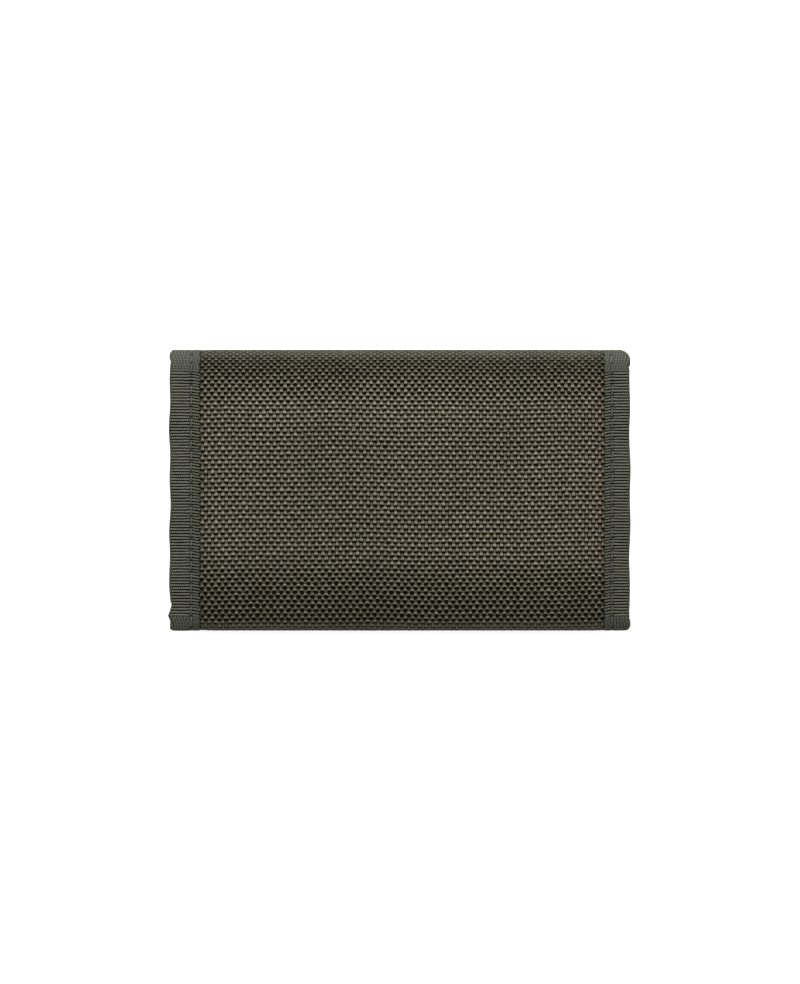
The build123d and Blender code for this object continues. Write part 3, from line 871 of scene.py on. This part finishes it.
def stitches(name, side, at, start, stop, fold=False, pitch=STITCH):
    """A row of lockstitches; at(u, v, lift) is a point u along it, v beside it, lift above the cloth."""
    k = np.arange(math.ceil(start / pitch - 0.5), math.floor(stop / pitch - 0.5))[:, None] + 0.5
    t = np.linspace(-0.46, 0.46, 11)[None, :]
    lift = 0.02 - 0.5 * smooth((np.abs(t) - 0.30) / 0.14) + 0 * k
    line = at((k + t) * pitch, 0.05 * np.sin(k * 2.3) + STITCH_SLANT * t, lift)
    fat = THREAD * (1 - 0.45 * smooth((np.abs(t[0]) - 0.38) / 0.08))
    obj = tube_piece(name, line, fat, 8, (1.0, 0.05, 0.05) if fold else (0.3, 0.1, 1.0))
    finish_piece(obj, THREAD_MAT, side, fold)


def seam_on_binding(name, side, seam_x, depth, s_from, s_to, fold=False):
    """A tape's row of stitches: on its outer face, or on its inner one where depth is a function."""
    def at(u, v, lift):
        d = depth(u) + lift if callable(depth) else depth - lift
        return place(side, seam_x + v, u, d)
    stitches(name, side, at, s_from, s_to, fold)


def bindings():
    """The folded tapes at the ends of shell and inner panel, with their seams."""
    for side in SIDES:
        for kind, edge in EDGES.items():
            wavy = kind != "panel"
            top = 0.0 if wavy else PANEL_DEPTH - TAPE_T
            seam_x = edge[3]
            main = binding_piece(f"{side}_{kind}_tape", side, edge, top,
                                 lambda s: bound_depth(kind, side, s), 0.0, FACE, wavy=wavy)
            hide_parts(f"{side}_{kind}_binding")
            bend = binding_piece(f"{side}_fold_{kind}_tape", side, edge, top,
                                 lambda s: bound_depth(kind, side, np.full(s.shape, FACE)),
                                 FACE, FACE + FOLD_LEN, fold=True, wavy=wavy)
            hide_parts(f"spine_{kind}_binding")
            if wavy:
                binding_piece(f"{side}_{kind}_nose_tape", side, edge, 0.0, NOSE_DEPTH, -NOSE_LEN, 0.0)
                if kind == "mouth":
                    binding_piece(f"{side}_{kind}_hem_tape", side, edge, 0.0, HEM_DEPTH,
                                  -NOSE_LEN - HEM_WIDTH, -NOSE_LEN)
                seam_on_binding(f"{side}_{kind}_seam", side, seam_x, 0.0, SEAM_START, FACE)
                seam_on_binding(f"{side}_fold_{kind}_seam", side, seam_x, 0.0,
                                FACE, FACE + FOLD_LEN - SEAM_END, fold=True)
            seam_on_binding(f"{side}_{kind}_inner_seam", side, seam_x,
                            lambda s: bound_depth(kind, side, s) - THREAD_SUNK, 1.0, FACE)


# ================ flat layers inside
EDGE_GAP, PANEL_GAP = 0.9, 0.3   # layers end this far inside the CAD's cloth, and inside its panel
SLACK = 0.03                     # air above and below a pocket layer
RIPPLE = 0.05
MESH_STEP = 1.6


def leaf_box(side, node):
    """A CAD node's box as it lies on the front leaf: its ranges across, along the path and in depth."""
    lo, hi = span(node)
    depths = (THICK - hi[2], THICK - lo[2]) if side == "back" else (lo[2], hi[2])
    return (lo[0], hi[0]), (lo[1] - Y_EDGE, hi[1] - Y_EDGE), depths


def pressed(xx, ss, d):
    """Depth at which the inner panel clears the slider's track, where the seams would lift it."""
    lo, hi = span("zipper_slider")
    middle, half = (lo[1] + hi[1]) / 2, (hi[1] - lo[1]) / 2
    last = span("zipper_bottom_stop")[0][0]
    y = Y_EDGE + ss
    track = smooth((half + 2.5 - np.abs(y - middle)) / 2.0) * smooth((last + 2.5 - xx) / 2.0)
    lift = sink(xx, y)
    return d + track * ((d - lift) / (1 - lift / STACK) - d)


def layer(name, side, xs, along, depths, material, slot, pad=False, fold=False, step=MESH_STEP,
          ripple=RIPPLE, press=False):
    """A plain layer of cloth or foam: its ranges across, along the path and in depth."""
    (x_from, x_to), (s_from, s_to), (d0, d1) = xs, along, depths
    cols = max(3, round((x_to - x_from) / step) + 1)
    rows = max(3, round((s_to - s_from) / (MESH_STEP / 2 if fold else step)) + 1)
    xx, ss = np.meshgrid(np.linspace(x_from, x_to, cols), np.linspace(s_from, s_to, rows))
    calm = 0 if fold else smooth((ss - s_from) / 4) * smooth((s_to - ss) / 4)
    wave = ripple * np.sin(xx / 7.3 + ss / 11) * np.sin(ss / 6.1 + 1.3) * calm
    if press:
        d0, d1 = pressed(xx, ss, d0), pressed(xx, ss, d1)
    outer, inner = place(side, xx, ss, d0 + wave), place(side, xx, ss, d1 + wave)
    obj = slab(name, outer, inner, np.stack([xx, ss], axis=-1), side == "front")
    finish_piece(obj, material, side, fold)
    if pad:
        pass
    else:
        cut_cloth(x_to - x_from, s_to - s_from)
    return obj


def inner_layers():
    """Foam, shell lining and inner panel, on each leaf and round the fold."""
    shell_x = (CLOTH_LEFT + EDGE_GAP, CLOTH_RIGHT - EDGE_GAP)
    panel_x = (INNER_LEFT + PANEL_GAP, CLOTH_RIGHT - EDGE_GAP)
    rows = (
        ("foam", "foam_pad", shell_x, SHELL_T, FOAM_T, FOAM_MAT, "foam"),
        ("shell_lining", "shell_lining_cloth", shell_x, SHELL_T + FOAM_T, LINING_T, LINING_MAT, "lining"),
        ("inner_panel", "inner_panel_cloth", panel_x, PANEL_DEPTH, PANEL_T, LINING_MAT, "lining"),
    )
    for side in SIDES:
        for node, name, xs, top, thick, material, slot in rows:
            pad, panel = node == "foam", node == "inner_panel"
            main = layer(f"{side}_{name}", side, xs, (0.0, FACE), (top, top + thick), material, slot, pad,
                         ripple=0.0 if panel else RIPPLE, press=panel and side == "front")
            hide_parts(f"{side}_{node}")
            bend = layer(f"{side}_fold_{name}", side, xs, (FACE, FACE + FOLD_LEN), (top, top + thick),
                         material, slot, pad, fold=True)
            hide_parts(f"spine_{node}")


# ================ pockets
POCKET_RIB, POCKET_RIB_RISE = 0.7, 0.05
MOUTH_TAPE_FLAT = 10.2


def flat_piece(name, side, node, material, slot, ripple=0.0):
    """A layer inside the pocket stack, taken from its CAD box, with a little life in its surface."""
    (x0, x1), along, (d0, d1) = leaf_box(side, node)
    if x0 < PANEL_IN - 1:
        x0 = x0 + PANEL_GAP
    obj = layer(name, side, (x0, min(x1, CLOTH_RIGHT - EDGE_GAP)), along, (d0 + SLACK, d1 - SLACK),
                material, slot, ripple=ripple)
    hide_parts(node)


def straight_seam(name, side, x_from, x_to, s, depth, gain=0.6):
    """A row of stitches along x, on a layer inside the leaf."""
    stitches(name, side, lambda u, v, lift: place(side, u, s + v, depth + gain * lift), x_from, x_to,
             pitch=POCKET_STITCH)


def mouth_tape(name, side, node):
    """Tape folded over a pocket's mouth: its loop runs over the top edge."""
    (x0, x1), (s0, s1), (z0, z1) = leaf_box(side, node)
    centre, half = (z0 + z1) / 2, (z1 - z0) / 2 - 0.02
    straight = s1 - half - s0
    xs = np.linspace(x0, x1, round((x1 - x0) / (RIB_PITCH / 5)))
    # the tape's section: 0 to 1 up the inner face, 1 to 2 over the mouth, 2 to 3 down behind
    t = np.concatenate([np.linspace(0, 1, 8), 1 + np.linspace(0, 1, 9)[1:-1], 2 + np.linspace(0, 1, 8)])
    a = (t - 1) * math.pi
    rib = POCKET_RIB_RISE * (1 - np.abs(np.sin(math.pi * xs / POCKET_RIB)))
    grids = []
    for shrink, relief in ((0.02, rib), (0.2, 0 * rib)):
        where = [t <= 1, t < 2]
        bow = half - shrink
        ss = np.select(where, [s0 + straight * t, s1 - half + bow * np.sin(a)], s0 + straight * (3 - t))
        ds = np.select(where, [0 * t + z1 - shrink, centre + bow * np.cos(a)], z0 + shrink)
        dd = ds[:, None] + np.where(ds > centre, -1, 1)[:, None] * relief[None, :]
        grids.append(place(side, xs[None, :], ss[:, None], dd))
    shape = grids[0].shape[:2]
    uv = np.stack(np.broadcast_arrays((t * 4.0)[:, None], (xs / POCKET_RIB)[None, :]), axis=-1)
    obj = slab(name, *grids, uv, side == "back", {"patch": np.zeros(shape)})
    finish_piece(obj, TAPE_MAT, side)
    cut_cloth(x1 - x0, MOUTH_TAPE_FLAT)
    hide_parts(node)
    straight_seam(f"{name}_seam", side, x0 + 0.5, x1 - 0.5, s0 + 0.9, z1)


def card_pockets():
    """Three card pockets, each with a tape over its mouth."""
    for which in ("rear", "middle", "front"):
        node = f"card_pocket_{which}"
        flat_piece(f"{node}_cloth", "back", node, POCKET_MAT, "pocket_cloth", 0.04)
        mouth_tape(f"{node}_mouth_tape", "back", f"{node}_tape")


# ================ zipper
COIL_PITCH, COIL_WIRE = 1.24, 0.17
COIL_POINTS = 14                 # to a turn
TAB = 2.0


def coil_row(name, node):
    """One half of a nylon coil: a flattened spiral; the two halves mesh half a turn apart."""
    lo, hi = span(node)
    turns = int((hi[0] - lo[0] - 2 * COIL_WIRE) / COIL_PITCH)
    a = np.linspace(0, turns * 2 * math.pi, turns * COIL_POINTS + 1)
    half_y, half_z = (hi[1] - lo[1]) / 2 - COIL_WIRE, (hi[2] - lo[2]) / 2 - COIL_WIRE
    lean, ahead = (1, 0.49) if "upper" in node else (-1, 0.0)
    x = lo[0] + COIL_WIRE + COIL_PITCH * (a / (2 * math.pi) + ahead)
    y = (lo[1] + hi[1]) / 2 + lean * half_y * np.cos(a)
    z = (lo[2] + hi[2]) / 2 + half_z * np.sin(a)
    obj = tube_piece(name, np.stack([x, y, z], axis=-1)[None], COIL_WIRE, 7, (1, 0.02, 0.03))
    finish_piece(obj, COIL_MAT, "front")
    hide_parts(node)


def zipper():
    """Coin pocket panels, zipper tapes, coils, end tabs and seams; the metal parts stay CAD."""
    for which in ("lower", "upper"):
        flat_piece(f"coin_pocket_{which}_cloth", "front", f"coin_pocket_{which}_panel",
                   POCKET_MAT, "pocket_cloth", 0.03)
        flat_piece(f"zipper_tape_{which}_cloth", "front", f"zipper_tape_{which}", ZIP_TAPE_MAT, "zip_tape")
        coil_row(f"zipper_coil_{which}_spiral", f"zipper_coil_{which}")
    (x0, x1), along, depths = leaf_box("front", "zipper_end_tabs")
    for tag, xs in (("start", (x0, x0 + TAB)), ("end", (x1 - TAB, x1))):
        tab = layer(f"zipper_{tag}_tab_cloth", "front", xs, along, depths, TAPE_MAT, "binding_tape",
                    step=0.5, pad=True)
        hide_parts("zipper_end_tabs")
    _, (_, lower_edge), (_, top) = leaf_box("front", "coin_pocket_lower_panel")
    upper_edge = leaf_box("front", "coin_pocket_upper_panel")[1][0]
    for tag, s in (("lower", lower_edge - 1.3), ("upper", upper_edge + 1.3)):
        straight_seam(f"zipper_{tag}_seam", "front", PANEL_IN + 0.5, SIDE_IN - 0.5, s, top)
    for node in ("zipper_slider", "zipper_pull", "zipper_top_stops", "zipper_bottom_stop"):
        finish_piece(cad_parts[node], METAL_MAT)


# ================ hook and loop closure
STRIP_BASE = 0.7
# node, leaf, material, slot, then the strands' pitch, stray, shortest share and thickness
STRIPS = (
    ("hook_strip", "front", HOOK_MAT, "hook_tape", 0.8, 0.12, 0.82, 0.085),
    ("loop_strip", "back", LOOP_MAT, "loop_tape", 0.72, 0.3, 0.45, 0.05),
)


def strand(node):
    """Reach and rise of one strand: a hook bends over at its top, a loop is an arch."""
    a = np.linspace(0, 1, 8)
    if node == "loop_strip":
        return 0.42 * np.cos(a * math.pi), np.sin(a * math.pi) ** 0.8
    bend = np.maximum(a - 0.5, 0) * 2 * math.pi * 0.85
    return 0.22 * (1 - np.cos(bend)), 0.72 * np.minimum(a / 0.5, 1) + 0.26 * np.sin(bend)


def closure():
    """The hook strip and the loop strip: a sewn base and a field of strands each."""
    for node, side, material, slot, pitch, stray, shortest, thick in STRIPS:
        xs, along, (low, tip) = leaf_box(side, node)
        top = low + STRIP_BASE
        base = layer(f"{slot}_base", side, xs, along, (low, top), material, slot, ripple=0)
        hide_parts(node)
        grid = np.meshgrid(*[np.arange(lo + 0.9, hi - 0.8, pitch) for lo, hi in (xs, along)])
        cx, cs = [g.ravel() + rng.uniform(-stray, stray, g.size) for g in grid]
        turn = rng.uniform(0, 2 * math.pi, len(cx))[:, None]
        high = rng.uniform(shortest, 1.0, len(cx))[:, None]
        out, rise = strand(node)
        depth = top - 0.05 + (tip - top - 0.1) * rise * high
        line = place(side, cx[:, None] + np.cos(turn) * out, cs[:, None] + np.sin(turn) * out, depth)
        piece = tube_piece(f"{slot}_strands", line, thick, 4, (0.31, 0.77, 0.1))
        finish_piece(piece, material, side)
        for tag, s in (("lower", along[0] + 0.7), ("upper", along[1] - 0.7)):
            straight_seam(f"{slot}_{tag}_seam", side, xs[0] + 0.4, xs[1] - 0.4, s, top, gain=0.4)


# ================ stage, light and camera
FLOOR_HALF_M, FLOOR_DROP_M = 3.0, 0.0004
LENS, SENSOR = 100.0, 36.0
SEEN = 276.3072                  # what the picture's longer side takes in at the wallet's top face
CAMERA_Y = -0.6


def area_light(name, spot, aim, size, power, colour):
    """A soft rectangular light; places and sizes in metres."""
    data = bpy.data.lights.new(name, "AREA")
    data.shape = "RECTANGLE"
    data.size, data.size_y = size
    data.energy = power
    data.color = colour
    lamp = add_object(name, data)
    lamp.location = spot
    lamp.rotation_euler = (Vector(aim) - Vector(spot)).to_track_quat("-Z", "Y").to_euler()


def floor():
    """White paper that glows a little, so that it stays pale beside the wallet."""
    mesh = bpy.data.meshes.new("floor")
    h = FLOOR_HALF_M
    mesh.from_pydata([(-h, -h, 0), (h, -h, 0), (h, h, 0), (-h, h, 0)], [], [(0, 1, 2, 3)])
    ground = add_object("floor", mesh)
    ground.location.z = -FLOOR_DROP_M
    paper = Finish("paper", 0.9, 0.1)
    paper.bsdf.inputs["Emission Color"].default_value = (1, 1, 1, 1)
    paper.bsdf.inputs["Emission Strength"].default_value = 0.3
    ground.data.materials.append(paper.show(srgb(250, 250, 250)))


def studio():
    """Floor, a raking key light, a fill from above, a white surrounding, and the camera straight above."""
    floor()
    area_light("key", (0.05, 0.85, 0.6), (0, 0, 0.006), (0.9, 0.3), 26.0, (1.0, 0.985, 0.96))
    area_light("fill", (0.0, -0.1, 1.2), (0, 0, 0), (1.6, 1.6), 4.0, (0.98, 0.99, 1.0))
    scene = bpy.context.scene
    world = bpy.data.worlds.new("studio")
    world.use_nodes = True
    world.node_tree.nodes["Background"].inputs[0].default_value = (1, 1, 1, 1)
    world.node_tree.nodes["Background"].inputs[1].default_value = 1.0
    scene.world = world
    scene.view_settings.view_transform = "Standard"
    scene.view_settings.look = "None"
    cam = bpy.data.cameras.new("camera")
    cam.lens, cam.sensor_width, cam.clip_end = LENS, SENSOR, 20.0
    shot = add_object("camera", cam)
    shot.location = (0.0, CAMERA_Y * MM, (THICK + SEEN * LENS / SENSOR) * MM)
    shot.rotation_euler = (0, 0, 0)
    scene.camera = shot


shells()
bindings()
inner_layers()
card_pockets()
zipper()
closure()
studio()
